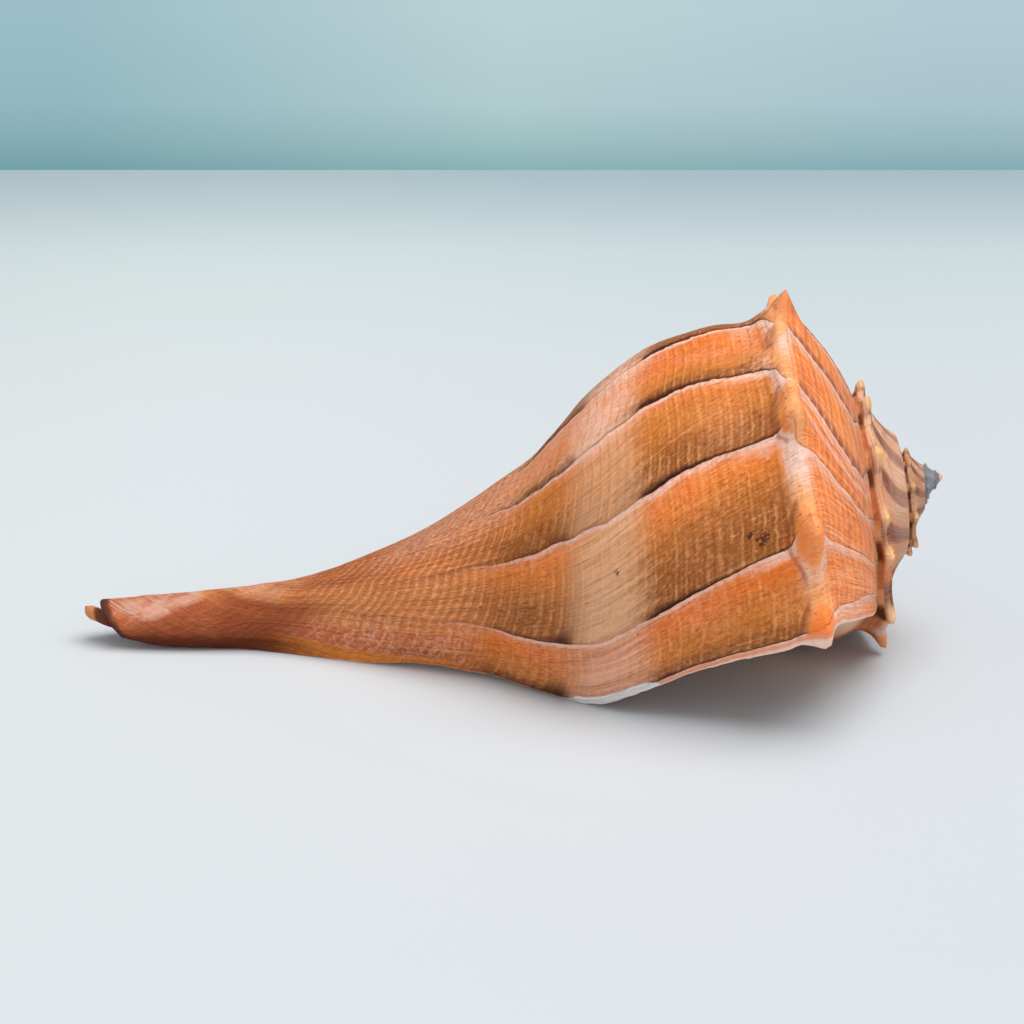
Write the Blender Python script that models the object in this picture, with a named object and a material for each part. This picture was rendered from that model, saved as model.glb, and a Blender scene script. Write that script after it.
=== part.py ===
"""Left-handed (lightning) whelk shell, one faceted solid in metres.

The shell is a coiled tube.  A point of its wall is given by two numbers:
beta, how far the growth has turned back from the lip, in radians, and u,
the place along the lip from the suture over the ramp and the shoulder down
the body to the tip of the canal.  The shell axis lies along X, apex at +X.
"""

import math

import bmesh
import bpy
import numpy as np
from mathutils import Vector

# ---- driving dimensions, millimetres and degrees ----
GROWTH = 0.110            # the tube grows by exp(0.110) for each radian turned
TURN_COLUMNS = 60         # columns of facets in one full turn
SUTURE_COLUMNS = 55       # columns from the lip back to where the suture meets it
SUTURE_ROW = 7            # row of the whorl that the next whorl is laid upon
LIP_ANGLE = 188.5         # where the lip meets the shoulder, about the axis
SPIRE_TURNS = 4.4         # turns back from the lip to the apex
AXIS_TILT = 12.2          # the axis rises this much towards the apex
APEX_HEIGHT = 30.9        # apex above the ground
CANAL_RISE = 12.2         # upward sweep of the canal at its tip
CANAL_SAG = 7.4           # downward sweep of the canal half way along
CAVITY_COLUMNS = 46       # depth of the modelled hollow, in columns
TIP_SLANT = 2.0           # the canal's tip ends this much further on top
CANAL_DEPTH = 130.0       # degrees the hollow runs round inside the canal
APEX_NUB = 0.8            # height of the apex above the first turn
# Rings of the worn nub at the tip: share of the pillar's own outline, radius,
# reach past the pillar's end, and rise above it.
NUB_STEPS = [(0.60, 1.7, 2.2, 1.4), (0.15, 1.5, 4.8, 3.0), (0.0, 1.45, 6.5, 3.7),
             (0.0, 0.85, 7.5, 3.8)]
WALL = 1.9                # thickness of the body wall
LIP_EDGE = 0.9            # thickness of the wall at its lip
BELLY = 0.045             # swelling of the whorl under the shell
RAMP_SAG = 5.0            # hollow of the ramp on the earlier whorls, at lip scale

# Lip profile: distance from the apex along the axis, radius, lag of the
# growth line behind the shoulder (degrees), tuck of the lip (share of radius).
BODY_PROFILE = [
    (26.2, 41.6, 0.0, 0.00),
    (29.4, 43.2, 0.0, 0.00),
    (35.6, 41.3, 2.5, -0.06),
    (43.0, 42.4, 5.5, 0.03),
    (50.0, 42.1, 9.0, 0.07),
    (57.5, 41.4, 14.0, 0.10),
    (67.0, 38.4, 20.5, 0.10),
    (76.0, 33.0, 24.5, 0.15),
    (86.0, 25.1, 27.5, 0.16),
    (98.0, 18.7, 29.0, 0.14),
    (111.0, 10.8, 30.0, -0.07),
    (124.0, 6.0, 32.0, -0.10),
    (135.0, 6.2, 34.0, 0.28),
    (142.5, 5.9, 35.0, 0.34),
    (148.2, 4.9, 36.0, 0.36),
]
RAMP_STEPS = [(0.0, 0.0, 30.0), (0.9, 4.0, 22.0), (2.6, 9.1, 12.0), (5.6, 14.5, 5.0)]
SEAT = 5.5                # place of the suture on the whorl that it is laid upon

# Facet rows along the profile, in steps of the table above (ramp first).
ROWS = [0.0, 1.2, 2.4, 3.4, 4.1, 4.6, 5.0, SEAT, 6.0, 6.5, 7.1, 7.7, 8.35, 9.0,
        9.7, 10.5, 11.3, 12.1, 13.0, 14.0, 15.0, 16.0, 17.0, 17.6, 18.0]

# Shoulder knobs: degrees back from the lip, height, half width in degrees,
# and where the crest lies across the shoulder.
KNOBS = [
    (1.0, 3.4, 6.0, 5.0), (21.0, 3.6, 8.5, 5.0), (46.5, 3.2, 5.0, 5.0),
    (54.0, 2.2, 4.5, 5.0), (63.0, 1.0, 4.0, 5.0), (75.0, 2.6, 5.5, 5.0),
    (90.0, 5.3, 5.0, 4.5), (122.0, 3.4, 6.5, 4.9), (154.0, 3.4, 6.0, 4.9),
    (186.0, 3.6, 6.0, 4.9), (222.0, 3.4, 6.0, 4.9), (256.0, 3.6, 6.0, 4.9),
    (293.0, 4.0, 6.0, 4.9), (325.0, 3.7, 6.0, 5.0), (357.0, 3.4, 5.5, 4.8),
    (374.0, 2.8, 5.5, 4.8),
]
OLD_KNOB_SPACING = 34.0   # knobs of the earlier whorls, degrees apart
OLD_KNOB_START = 402.0    # where the even spacing begins
OLD_KNOB_HEIGHT = 3.6     # measured on the scale of the lip

COLUMN = 2.0 * math.pi / TURN_COLUMNS
GROWTH_SUTURE = math.exp(-GROWTH * math.radians(360.0 * SUTURE_COLUMNS / TURN_COLUMNS))


def smooth(x, low, high):
    """Ease from 0 at low to 1 at high."""
    t = np.clip((x - low) / (high - low), 0.0, 1.0)
    return t * t * (3.0 - 2.0 * t)


def profile_table():
    """Ramp rows from the suture, then the body rows: d, r, lag, tuck."""
    share = SEAT - 5.0
    seat = [(1.0 - share) * a + share * b for a, b in zip(BODY_PROFILE[1], BODY_PROFILE[2])]
    d0 = seat[0] * GROWTH_SUTURE
    r0 = seat[1] * GROWTH_SUTURE
    ramp = [(d0 + d, r0 + r, lag, 0.0) for d, r, lag in RAMP_STEPS]
    return np.array(ramp + BODY_PROFILE, dtype=float)


TABLE = profile_table()


def along(u):
    """Profile values at u by a curve through the rows of the table."""
    n = len(TABLE)
    ends = np.vstack([2 * TABLE[0] - TABLE[1], TABLE, 2 * TABLE[-1] - TABLE[-2]])
    i = np.clip(np.floor(u).astype(int), 0, n - 2)
    f = (u - i)[..., None]
    a = ends[i]
    b = ends[i + 1]
    c = ends[i + 2]
    e = ends[i + 3]
    cubic = -a + 3 * b - 3 * c + e
    square = 2 * a - 5 * b + 4 * c - e
    return 0.5 * (2 * b + (c - a) * f + square * f ** 2 + cubic * f ** 3)


def across(u, crest, reach):
    """Share of a knob's height left at u, a place across the shoulder."""
    side = np.where(u < crest, 0.8, reach)
    return np.exp(-np.abs((u - crest) / side) ** 1.6)


def knob_height(beta, u):
    """Height of the shoulder knobs at the growth angle beta and place u."""
    deg = np.degrees(beta)
    reach = 0.62 - 0.17 * smooth(deg, 300.0, 345.0)
    total = np.zeros_like(deg)
    for place, height, width, crest in KNOBS:
        bump = height * np.exp(-np.abs((deg - place) / width) ** 1.6)
        total = total + bump * across(u, crest, reach)
    phase = (deg - OLD_KNOB_START) / OLD_KNOB_SPACING
    away = np.abs(phase - np.round(phase)) * OLD_KNOB_SPACING
    old = OLD_KNOB_HEIGHT * np.exp(-(away / 7.0) ** 1.6) * across(u, 4.7, reach)
    total = total + old * smooth(deg, 378.0, 388.0)
    fade = 1.0 - 0.6 * smooth(deg, 900.0, 1400.0)
    return total * fade * np.exp(-GROWTH * beta)


def wall(beta, u, knobs=True):
    """Points of the outer wall in the frame of the shell axis, apex at 0."""
    beta, u = np.broadcast_arrays(np.asarray(beta, float), np.asarray(u, float))
    d0, r0, lag, tuck = np.moveaxis(along(u), -1, 0)
    canal = smooth(d0, 84.0, 138.0)
    shrink = np.exp(-GROWTH * beta)
    d = d0 * (shrink + (1.0 - shrink) * smooth(d0, 95.0, 148.0))
    roll = 1.0 - 0.72 * smooth(beta, math.radians(150.0), math.radians(400.0))
    r = r0 * (shrink * (1.0 - canal) + roll * canal)
    r = r * (1.0 - tuck * np.exp(-beta / math.radians(35.0)))
    turn = (beta - math.radians(275.0)) / math.radians(45.0)
    belly = smooth(u, 5.5, 8.0) * (1.0 - smooth(u, 11.0, 13.0))
    r = r * (1.0 + BELLY * belly * np.exp(-turn ** 2))
    early = 1.0 - 0.40 * smooth(beta, math.radians(560.0), math.radians(900.0))
    r = r * early
    sag = RAMP_SAG * smooth(beta, math.radians(150.0), math.radians(300.0))
    d = d + sag * early * shrink * np.sin(math.pi * np.clip(u / 4.4, 0.0, 1.0))
    if knobs:
        lift = knob_height(beta, u) * early
        r = r + 0.95 * lift
        d = d - 0.30 * lift
    phi = math.radians(LIP_ANGLE) + np.radians(lag) - beta * (1.0 - 0.10 * canal)
    t = np.maximum(d - 95.0, 0.0) / 56.0
    slant = TIP_SLANT * smooth(d0, 135.0, 148.0)
    d = d + slant * np.cos(phi - math.radians(80.0))
    rise = CANAL_RISE * t ** 3 - CANAL_SAG * t ** 2
    return np.stack([-d, r * np.cos(phi), r * np.sin(phi) + rise], axis=-1)


def inward(beta, u):
    """Unit vectors pointing from the outer wall into the hollow."""
    eps = 1e-3
    along_u = wall(beta, u + eps, False) - wall(beta, u - eps, False)
    along_b = wall(beta + eps, u, False) - wall(beta - eps, u, False)
    n = np.cross(along_u, along_b)
    return n / np.linalg.norm(n, axis=-1, keepdims=True)


def cavity_depth(u):
    """How far the hollow runs back from the lip at u, in radians."""
    full = CAVITY_COLUMNS * COLUMN
    shallow = math.radians(CANAL_DEPTH)
    return full + (shallow - full) * smooth(u, 7.0, 14.0)


def cavity_skin(k, u):
    """Points of the hollow's outer side, k columns in from the lip."""
    beta = cavity_depth(u) * k / CAVITY_COLUMNS
    narrow = 1.0 - 0.45 * smooth(u, 11.0, 14.0)
    edge = smooth(np.degrees(beta), 0.0, 26.0)
    thick = LIP_EDGE + (WALL * narrow - LIP_EDGE) * edge
    skin = wall(beta, u, False) + inward(beta, u) * thick[..., None]
    floor = inner_lip(k, np.maximum(u, ROWS[SUTURE_ROW + 1]))
    close = smooth(k / CAVITY_COLUMNS, 0.80, 1.0)[..., None]
    return skin * (1.0 - close) + floor * close


def inner_lip(k, u):
    """Points of the earlier whorl that floors the hollow."""
    start = SUTURE_COLUMNS * COLUMN
    return wall(start + cavity_depth(u) * k / CAVITY_COLUMNS, u, k < 1.0)


def stand(point):
    """Lay the shell down as it rests, lip and canal on the ground."""
    tilt = math.radians(AXIS_TILT)
    x = point[0] * math.cos(tilt) - point[2] * math.sin(tilt)
    z = point[0] * math.sin(tilt) + point[2] * math.cos(tilt)
    return [x, point[1], z + APEX_HEIGHT]


class Shell:
    """Collects the corner points and facets of the shell."""

    def __init__(self):
        self.points = []
        self.facets = []
        self.names = {}
        self.pillar = []
        self.rows = len(ROWS)
        self.last = int(round(SPIRE_TURNS * TURN_COLUMNS))

    def add(self, point):
        self.points.append(stand(point))
        return len(self.points) - 1

    def outer(self, i, j):
        """Corner of the outer wall in row i, column j."""
        if i == 0 and j + SUTURE_COLUMNS <= self.last:
            return self.outer(SUTURE_ROW, j + SUTURE_COLUMNS)
        key = ("outer", i, j)
        if key not in self.names:
            self.names[key] = self.add(wall(COLUMN * j, ROWS[i]))
        return self.names[key]

    def floor(self, i, k):
        """Corner of the hollow's floor in row i, k columns in."""
        if k == 0:
            return self.outer(i, SUTURE_COLUMNS)
        key = ("floor", i, k)
        if key not in self.names:
            point = inner_lip(np.array(float(k)), np.array(ROWS[i]))
            self.names[key] = self.add(point)
        return self.names[key]

    def inner(self, i, k):
        """Corner of the hollow's outer side in row i, k columns in."""
        if i == 0 or k == CAVITY_COLUMNS:
            return self.floor(max(i, SUTURE_ROW + 1), k)
        key = ("inner", i, k)
        if key not in self.names:
            point = cavity_skin(np.array(float(k)), np.array(ROWS[i]))
            self.names[key] = self.add(point)
        return self.names[key]

    def facet(self, *corners):
        """One facet, with repeated corners dropped."""
        loop = []
        for c in corners:
            if c not in loop:
                loop.append(c)
        if len(loop) > 2:
            self.facets.append(loop)

    def outside(self):
        for j in range(SUTURE_COLUMNS):
            for i in range(self.rows - 1):
                self.facet(self.outer(i, j), self.outer(i + 1, j),
                           self.outer(i + 1, j + 1), self.outer(i, j + 1))
        for j in range(SUTURE_COLUMNS, self.last):
            for i in range(SUTURE_ROW):
                self.facet(self.outer(i, j), self.outer(i + 1, j),
                           self.outer(i + 1, j + 1), self.outer(i, j + 1))

    def hollow(self):
        for k in range(CAVITY_COLUMNS):
            for i in range(SUTURE_ROW + 1, self.rows - 1):
                self.facet(self.floor(i, k), self.floor(i + 1, k),
                           self.floor(i + 1, k + 1), self.floor(i, k + 1))
            for i in range(self.rows - 1):
                self.facet(self.inner(i, k), self.inner(i, k + 1),
                           self.inner(i + 1, k + 1), self.inner(i + 1, k))

    def lip(self):
        for i in range(self.rows - 1):
            self.facet(self.outer(i, 0), self.inner(i, 0),
                       self.inner(i + 1, 0), self.outer(i + 1, 0))

    def apex(self):
        """Close the first, smallest turn with a cone to its centre."""
        first = self.last - SUTURE_COLUMNS
        ring = [self.outer(0, j) for j in range(first, self.last + 1)]
        ring += [self.outer(i, self.last) for i in range(1, SUTURE_ROW)]
        middle = np.mean([self.points[c] for c in ring], axis=0)
        tilt = math.radians(AXIS_TILT)
        middle[0] += APEX_NUB * math.cos(tilt)
        middle[2] += APEX_NUB * math.sin(tilt)
        self.points.append(list(middle))
        top = len(self.points) - 1
        for n, c in enumerate(ring):
            self.facet(top, c, ring[(n + 1) % len(ring)])

    def tip(self):
        """Close the end of the canal: its wall, then its pillar."""
        end = self.rows - 1
        for k in range(CAVITY_COLUMNS):
            self.facet(self.outer(end, k), self.inner(end, k),
                       self.inner(end, k + 1), self.outer(end, k + 1))
        ring = [self.outer(end, j) for j in range(CAVITY_COLUMNS, SUTURE_COLUMNS + 1)]
        ring += [self.floor(end, k) for k in range(1, CAVITY_COLUMNS + 1)]
        self.pillar = list(ring)
        for step in NUB_STEPS:
            ring = self.nub(ring, *step)
        middle = np.mean([self.points[c] for c in ring], axis=0)
        self.points.append(list(middle))
        top = len(self.points) - 1
        for n, c in enumerate(ring):
            self.facet(top, c, ring[(n + 1) % len(ring)])

    def nub(self, ring, share, radius, reach, rise):
        """One rounder ring of the nub, joined to the ring before it."""
        start = np.mean([self.points[c] for c in self.pillar], axis=0)
        new = []
        for c in self.pillar:
            out = np.array(self.points[c]) - start
            turn = math.atan2(out[2], out[1])
            circle = np.array([0.0, radius * math.cos(turn), radius * math.sin(turn)])
            point = start + share * out + (1.0 - share) * circle
            self.points.append(list(point + np.array([-reach, 0.0, rise])))
            new.append(len(self.points) - 1)
        for n, c in enumerate(ring):
            m = (n + 1) % len(ring)
            self.facet(c, new[n], new[m], ring[m])
        return new


# ---- build ----
def shell_mesh():
    """The whole shell as one closed mesh, standing on the ground, in metres."""
    shell = Shell()
    shell.outside()
    shell.hollow()
    shell.lip()
    shell.apex()
    shell.tip()
    points = np.array(shell.points, dtype=float)
    # The lowest spots are worn flat where the shell rests on the ground.
    points[:, 2] = np.maximum(points[:, 2], 0.0)
    low = points.min(axis=0)
    high = points.max(axis=0)
    points[:, :2] -= (low[:2] + high[:2]) / 2.0
    points *= 0.001
    mesh = bpy.data.meshes.new("shell")
    mesh.from_pydata([Vector(p) for p in points], [], shell.facets)
    return mesh


def tidy(mesh):
    """Split every facet into triangles and turn them all outwards."""
    bm = bmesh.new()
    bm.from_mesh(mesh)
    bmesh.ops.triangulate(bm, faces=bm.faces[:], quad_method="SHORT_EDGE")
    bmesh.ops.recalc_face_normals(bm, faces=bm.faces[:])
    for face in bm.faces:
        face.smooth = True
    bm.to_mesh(mesh)
    bm.free()


def shell_material():
    mat = bpy.data.materials.new("shell_orange")
    mat.use_nodes = True
    bsdf = mat.node_tree.nodes["Principled BSDF"]
    bsdf.inputs["Base Color"].default_value = (0.55, 0.22, 0.08, 1.0)
    bsdf.inputs["Roughness"].default_value = 0.45
    return mat


def main():
    for obj in list(bpy.data.objects):
        bpy.data.objects.remove(obj, do_unlink=True)
    mesh = shell_mesh()
    tidy(mesh)
    mesh.materials.append(shell_material())
    obj = bpy.data.objects.new("shell", mesh)
    bpy.context.scene.collection.objects.link(obj)


main()
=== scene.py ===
"""Lightning whelk shell: the finished shell, its colours, and a plain stage."""
from math import cos, exp, pi, radians, sin

import bmesh
import bpy
import numpy as np
from mathutils import Matrix, Vector, noise


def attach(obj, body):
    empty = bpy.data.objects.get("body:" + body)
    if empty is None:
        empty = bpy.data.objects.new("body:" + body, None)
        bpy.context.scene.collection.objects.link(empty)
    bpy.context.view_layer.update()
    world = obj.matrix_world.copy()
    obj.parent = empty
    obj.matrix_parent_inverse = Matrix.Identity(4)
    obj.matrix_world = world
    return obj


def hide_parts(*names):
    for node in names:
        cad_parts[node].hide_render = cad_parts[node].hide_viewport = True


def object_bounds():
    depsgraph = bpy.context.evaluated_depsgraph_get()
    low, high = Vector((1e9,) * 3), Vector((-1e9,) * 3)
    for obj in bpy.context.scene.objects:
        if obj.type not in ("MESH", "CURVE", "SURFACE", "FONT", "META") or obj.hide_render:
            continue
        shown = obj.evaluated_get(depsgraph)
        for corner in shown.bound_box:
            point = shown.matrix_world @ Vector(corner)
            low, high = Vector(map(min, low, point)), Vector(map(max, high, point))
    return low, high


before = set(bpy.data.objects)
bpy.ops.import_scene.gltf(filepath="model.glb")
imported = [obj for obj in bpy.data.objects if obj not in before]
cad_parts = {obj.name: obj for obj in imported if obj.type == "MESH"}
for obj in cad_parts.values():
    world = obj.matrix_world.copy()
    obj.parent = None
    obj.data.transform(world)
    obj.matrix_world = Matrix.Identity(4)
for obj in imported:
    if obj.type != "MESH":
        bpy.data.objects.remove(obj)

CAD_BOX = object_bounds()
join = np.concatenate

# ---------------------------------------------------------------- the form
# beta is the growth angle back from the lip in radians, deg the same in degrees,
# and u the place along the lip: from the suture (0) over the ramp to the shoulder
# (5) and on to the canal's tip (18).  Lengths are in mm, named angles in degrees.
GROWTH = 0.110
SUTURE_TURN = 330.0
SEAT = 5.5
LIP_ANGLE = 188.5
SPIRE_TURNS = 4.4
AXIS_TILT = 12.2
APEX_HEIGHT = 30.9
CANAL_RISE = 12.2
CANAL_SAG = 7.4
TIP_SLANT = 2.0
CANAL_DEPTH = 130.0
HOLLOW_DEPTH = 276.0
WALL = 1.9
LIP_EDGE = 0.9
BELLY = 0.045
RAMP_SAG = 5.0
BOX_GAP = 0.02
DOME_STEP = 0.62
DOME_TOP = 0.85

# Growth marks, b, s, stops passed and lip angle, are stored this many times
# smaller, as two UV maps.  FAR is a lip angle well away from the lip.
GROWTH_SCALE = 100.0
STOPS_SCALE = 10.0
FAR = 900.0
TIP_MARK = [-330.0, 149.0, -14.5, FAR]

# The lip's outline: distance from the apex along the axis, radius, degrees that
# the growth line trails there, and share drawn in towards the axis at the lip.
BODY_PROFILE = [
    (26.2, 41.6, 0.0, 0.00), (29.4, 43.2, 0.0, 0.00), (35.6, 41.3, 2.5, -0.06),
    (43.0, 42.4, 5.5, 0.03), (50.0, 42.1, 9.0, 0.07), (57.5, 41.4, 14.0, 0.10),
    (67.0, 38.4, 20.5, 0.10), (76.0, 33.0, 24.5, 0.15), (86.0, 25.1, 27.5, 0.16),
    (98.0, 18.7, 29.0, 0.14), (111.0, 10.8, 30.0, -0.07), (124.0, 6.0, 32.0, -0.10),
    (135.0, 6.2, 34.0, 0.28), (142.5, 5.9, 35.0, 0.34), (148.2, 4.9, 36.0, 0.36),
]

# The ramp from the suture outwards: added distance, added radius, degrees trailed.
RAMP_STEPS = [(0.0, 0.0, 30.0), (0.9, 4.0, 22.0), (2.6, 9.1, 12.0), (5.6, 14.5, 5.0)]

# Rings of the worn nub at the canal's tip: share of the pillar's outline,
# radius, reach past the pillar's end, and rise above it.
NUB_STEPS = [(0.95, 2.6, 1.0, 0.3), (0.75, 2.5, 2.1, 0.9), (0.45, 2.4, 3.3, 1.8),
             (0.15, 2.1, 4.4, 2.7), (0.0, 1.9, 5.3, 3.3), (0.0, 1.85, 6.5, 3.75),
             (0.0, 1.35, 7.25, 3.9)]

# Shoulder knobs: degrees back from the lip, height, half width, crest.
KNOBS = [
    (1.0, 3.4, 6.0, 5.0), (21.0, 3.6, 8.5, 5.0), (46.5, 3.2, 5.0, 5.0),
    (54.0, 2.2, 4.5, 5.0), (63.0, 1.0, 4.0, 5.0), (75.0, 2.6, 5.5, 5.0),
    (90.0, 5.3, 5.0, 4.5), (122.0, 3.4, 6.5, 4.9), (154.0, 3.4, 6.0, 4.9),
    (186.0, 3.6, 6.0, 4.9), (222.0, 3.4, 6.0, 4.9), (256.0, 3.6, 6.0, 4.9),
    (293.0, 4.0, 6.0, 4.9), (325.0, 3.7, 6.0, 5.0), (357.0, 3.4, 5.5, 4.8),
    (374.0, 2.8, 5.5, 4.8),
]

# Further back one knob stands every KNOB_GAP degrees, counted from KNOB_START.
# KNOB_ROUND shapes their tops, and KNOB_ROW is their distance from the apex.
KNOB_GAP = 34.0
KNOB_START = 402.0
KNOB_ROUND = 1.6
KNOB_ROW = 29.3

# Where growth stopped for a while and left a raised dark edge: s in mm from the
# apex at lip scale, then how many degrees back from the lip each edge lies.
STOP_LINES = [
    (17.3, 12.0, 24.0, 44.0, 66.0, 95.0), (18.1, 8.8, 21.0, 38.5, 54.0, 80.0),
    (19.9, 7.0, 19.4, 35.0, 48.0, 75.0), (22.9, 4.6, 18.6, 36.0, 50.0, 75.0),
    (26.2, 3.2, 18.2, 38.0, 53.5, 75.5), (29.4, 2.3, 20.4, 40.6, 56.0, 79.0),
    (31.0, 1.8, 20.0, 44.0, 63.0, 86.0), (33.0, 1.6, 20.0, 45.8, 66.0, 92.0),
    (36.0, 1.6, 20.0, 46.3, 68.0, 96.0), (41.0, 1.6, 20.0, 47.4, 69.5, 97.3),
    (45.0, 1.7, 20.1, 48.7, 71.5, 98.0), (50.0, 1.8, 20.2, 50.0, 74.0, 99.0),
    (57.0, 2.0, 20.4, 50.8, 75.7, 100.5), (62.0, 2.1, 20.9, 51.3, 77.0, 101.5),
    (68.0, 1.6, 21.6, 53.0, 78.2, 103.0), (76.0, 1.2, 23.8, 54.6, 78.6, 106.0),
    (83.0, 2.0, 26.2, 54.8, 80.0, 108.0), (91.0, 3.0, 30.5, 56.5, 83.0, 110.0),
    (110.0, 3.5, 34.0, 61.0, 89.0, 116.0),
]


def smooth(x, low, high):
    """Ease from 0 at low to 1 at high."""
    t = np.clip((x - low) / (high - low), 0.0, 1.0)
    return t * t * (3.0 - 2.0 * t)


def band(x, low, start, end, high):
    """1 from start to end, easing to 0 at low and at high."""
    return smooth(x, low, start) * (1 - smooth(x, end, high))


def bell(x, middle, width):
    """1 at middle, fading on both sides."""
    return np.exp(-((x - middle) / width) ** 2)


def hump(x, middle, width):
    """As bell, with the round top and steep foot of a knob."""
    return np.exp(-np.abs((x - middle) / width) ** KNOB_ROUND)


def profile_table():
    """Ramp rows from the suture, then the body rows: d, r, lag, tuck."""
    shrink = exp(-GROWTH * radians(SUTURE_TURN))
    share = SEAT - 5.0
    seat = [(1 - share) * a + share * b for a, b in zip(BODY_PROFILE[1], BODY_PROFILE[2])]
    d0 = seat[0] * shrink
    r0 = seat[1] * shrink
    ramp = [(d0 + d, r0 + r, lag, 0.0) for d, r, lag in RAMP_STEPS]
    return np.array(ramp + BODY_PROFILE, dtype=float)


TABLE = profile_table()


def along(u):
    """Profile values at u by a curve through the rows of the table."""
    ends = np.vstack([2 * TABLE[0] - TABLE[1], TABLE, 2 * TABLE[-1] - TABLE[-2]])
    i = np.clip(np.floor(u).astype(int), 0, len(TABLE) - 2)
    f = (u - i)[..., None]
    a = ends[i]
    b = ends[i + 1]
    c = ends[i + 2]
    e = ends[i + 3]
    cubic = -a + 3 * b - 3 * c + e
    square = 2 * a - 5 * b + 4 * c - e
    return 0.5 * (2 * b + (c - a) * f + square * f ** 2 + cubic * f ** 3)


def across(u, crest, reach):
    """Share of a knob's height left at u, a place across the shoulder."""
    return hump(u, crest, np.where(u < crest, 0.8, reach))


def early_knobs(deg):
    """Place in the row of even knobs, in knobs and in degrees from the nearest."""
    phase = (deg - KNOB_START) / KNOB_GAP
    return phase, np.abs(phase - np.round(phase)) * KNOB_GAP


def knob_height(beta, u):
    """Height of the shoulder knobs, on the scale of the lip."""
    deg = np.degrees(beta)
    reach = 0.62 - 0.17 * smooth(deg, 300, 345)
    total = np.zeros_like(deg)
    for place, height, width, crest in KNOBS:
        total = total + height * hump(deg, place, width) * across(u, crest, reach)
    _, away = early_knobs(deg)
    old = 3.6 * hump(away, 0, 7) * across(u, 4.7, reach)
    total = total + old * smooth(deg, 378, 388)
    return total * (1 - 0.6 * smooth(deg, 900, 1400))


def early_part(deg):
    """Share of the radius kept by the first, tightly wound whorls."""
    return 1 - 0.4 * smooth(deg, 560, 900)


def outline(beta, u):
    """Profile values at u, shares of canal and growth, distance down the axis."""
    d0, r0, lag, tuck = np.moveaxis(along(u), -1, 0)
    canal = smooth(d0, 84, 138)
    shrink = np.exp(-GROWTH * beta)
    d = d0 * (shrink + (1 - shrink) * smooth(d0, 95, 148))
    return d0, r0, lag, tuck, canal, shrink, d


def wall(beta, u, knobs=True):
    """Points of the plain outer wall in the frame of the shell axis."""
    beta, u = np.broadcast_arrays(np.asarray(beta, float), np.asarray(u, float))
    deg = np.degrees(beta)
    d0, r0, lag, tuck, canal, shrink, d = outline(beta, u)
    roll = 1 - 0.72 * smooth(deg, 150, 400)
    r = r0 * (shrink * (1 - canal) + roll * canal)
    r = r * (1 - tuck * np.exp(-deg / 35.0))
    r = r * (1 + BELLY * band(u, 5.5, 8, 11, 13) * bell(deg, 275, 45))
    r = r * early_part(deg)
    sag = RAMP_SAG * smooth(deg, 150, 300) * early_part(deg)
    d = d + sag * shrink * np.sin(pi * np.clip(u / 4.4, 0.0, 1.0))
    if knobs:
        lift = knob_height(beta, u) * shrink * early_part(deg)
        r = r + 0.95 * lift
        d = d - 0.3 * lift
    phi = radians(LIP_ANGLE) + np.radians(lag) - beta * (1 - 0.1 * canal)
    t = np.maximum(d - 95.0, 0.0) / 56.0
    slant = TIP_SLANT * smooth(d0, 135, 148)
    d = d + slant * np.cos(phi - radians(80.0))
    rise = CANAL_RISE * t ** 3 - CANAL_SAG * t ** 2
    return np.stack([-d, r * np.cos(phi), r * np.sin(phi) + rise], axis=-1)


def wall_ways(beta, u):
    """Unit vectors on the wall: towards the lip, and into the hollow."""
    eps = 1e-3
    along_u = wall(beta, u + eps, False) - wall(beta, u - eps, False)
    along_b = wall(beta + eps, u, False) - wall(beta - eps, u, False)
    n = np.cross(along_u, along_b)
    n /= np.linalg.norm(n, axis=-1, keepdims=True)
    return -along_b / np.linalg.norm(along_b, axis=-1, keepdims=True), n


# ------------------------------------------- where the growth lines of it lie
def line_lag(s):
    """How far a growth line trails the shoulder at s, in degrees.

    Near the tip it sweeps right round the canal.
    """
    places = [98.0, 111.0, 120.0, 128.0, 135.0, 141.0, 145.0, 149.0]
    trail = [28.5, 25.0, 14.0, -2.0, -30.0, -80.0, -150.0, -290.0]
    return np.interp(s, list(TABLE[:13, 0]) + places, list(TABLE[:13, 2]) + trail)


def growth_place(beta, u):
    """Growth angle b in degrees, and distance s from the apex at lip scale.

    On the body these are the grid's own.  The canal's tip never moved with
    growth, so on the canal they are solved from the point's true place.
    """
    d0, _, lag, _, canal, _, d = outline(beta, u)
    turned = lag - np.degrees(beta) * (1 - 0.1 * canal)
    low = np.full(d.shape, -400.0)
    high = np.full(d.shape, 1700.0)
    for _ in range(36):
        mid = 0.5 * (low + high)
        s = d * np.exp(GROWTH * np.radians(mid))
        older = line_lag(s) - mid - turned > 0.0
        low = np.where(older, mid, low)
        high = np.where(older, high, mid)
    part = smooth(d0, 80, 92)
    b = np.degrees(beta) * (1 - part) + low * part
    s = d0 * (1 - part) + d * np.exp(GROWTH * np.radians(low)) * part
    return b, s


def stops_passed(b, s, knob):
    """Counts the growth stops back from the lip; whole numbers lie on edges."""
    rows = np.array(STOP_LINES)
    lines = [np.interp(s, rows[:, 0], rows[:, n]) for n in range(1, 6)]
    count = np.minimum(b - lines[0], 0.0) / 20.0
    for young, old in zip(lines, lines[1:]):
        count = count + np.clip((b - young) / (old - young), 0.0, 1.0)
    early = smooth(b, 180, 320)
    last = lines[-1] * (1 - early) + 86.0 * early
    count = count + np.maximum(b - last, 0.0) / 28.0
    return count - 0.22 * smooth(knob, 0.8, 3) * smooth(b, 6, 14)


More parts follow.
